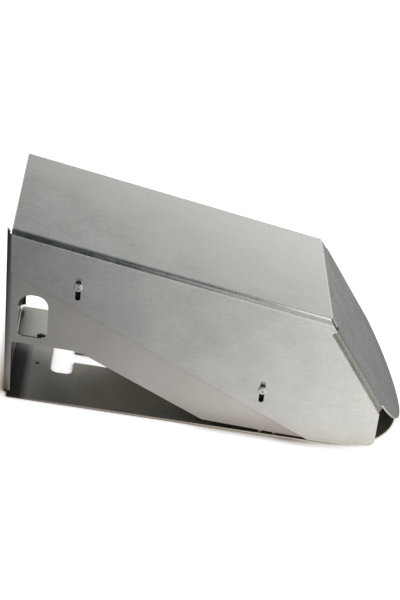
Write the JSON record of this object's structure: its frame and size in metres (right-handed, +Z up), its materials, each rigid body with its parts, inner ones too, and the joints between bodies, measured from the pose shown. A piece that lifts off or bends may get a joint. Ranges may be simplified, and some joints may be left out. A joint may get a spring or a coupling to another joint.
{
  "type": "camera bracket",
  "caption": "Wedge-shaped sheet metal camera bracket: folded base bracket with back plate, side plates and round-nosed floor under a folded cover that slides on slotted sides.",
  "frame": {"origin": "middle of the footprint, at the underside of the floor plate", "axes": "+X from the back plate to the nose, +Y across to the left side seen from the back, +Z up"},
  "size_m": [0.386, 0.1554, 0.1686],
  "materials": {
    "sheet_metal": "brushed, satin",
    "cover_sheet": "brushed, satin",
    "fastener": "bright",
    "dark_fastener": "black oxide"
  },
  "bodies": {
    "base": {"base_bracket": "sheet_metal", "cover_screws": "fastener", "nut_plates": "dark_fastener"},
    "cover": {"cover": "cover_sheet"}
  },
  "joints": [
    {"name": "cover_slide", "type": "slide", "parent": "base", "child": "cover", "axis": [-0.0958, 0, 0.9954], "range_m": [0, 0.011]}
  ]
}
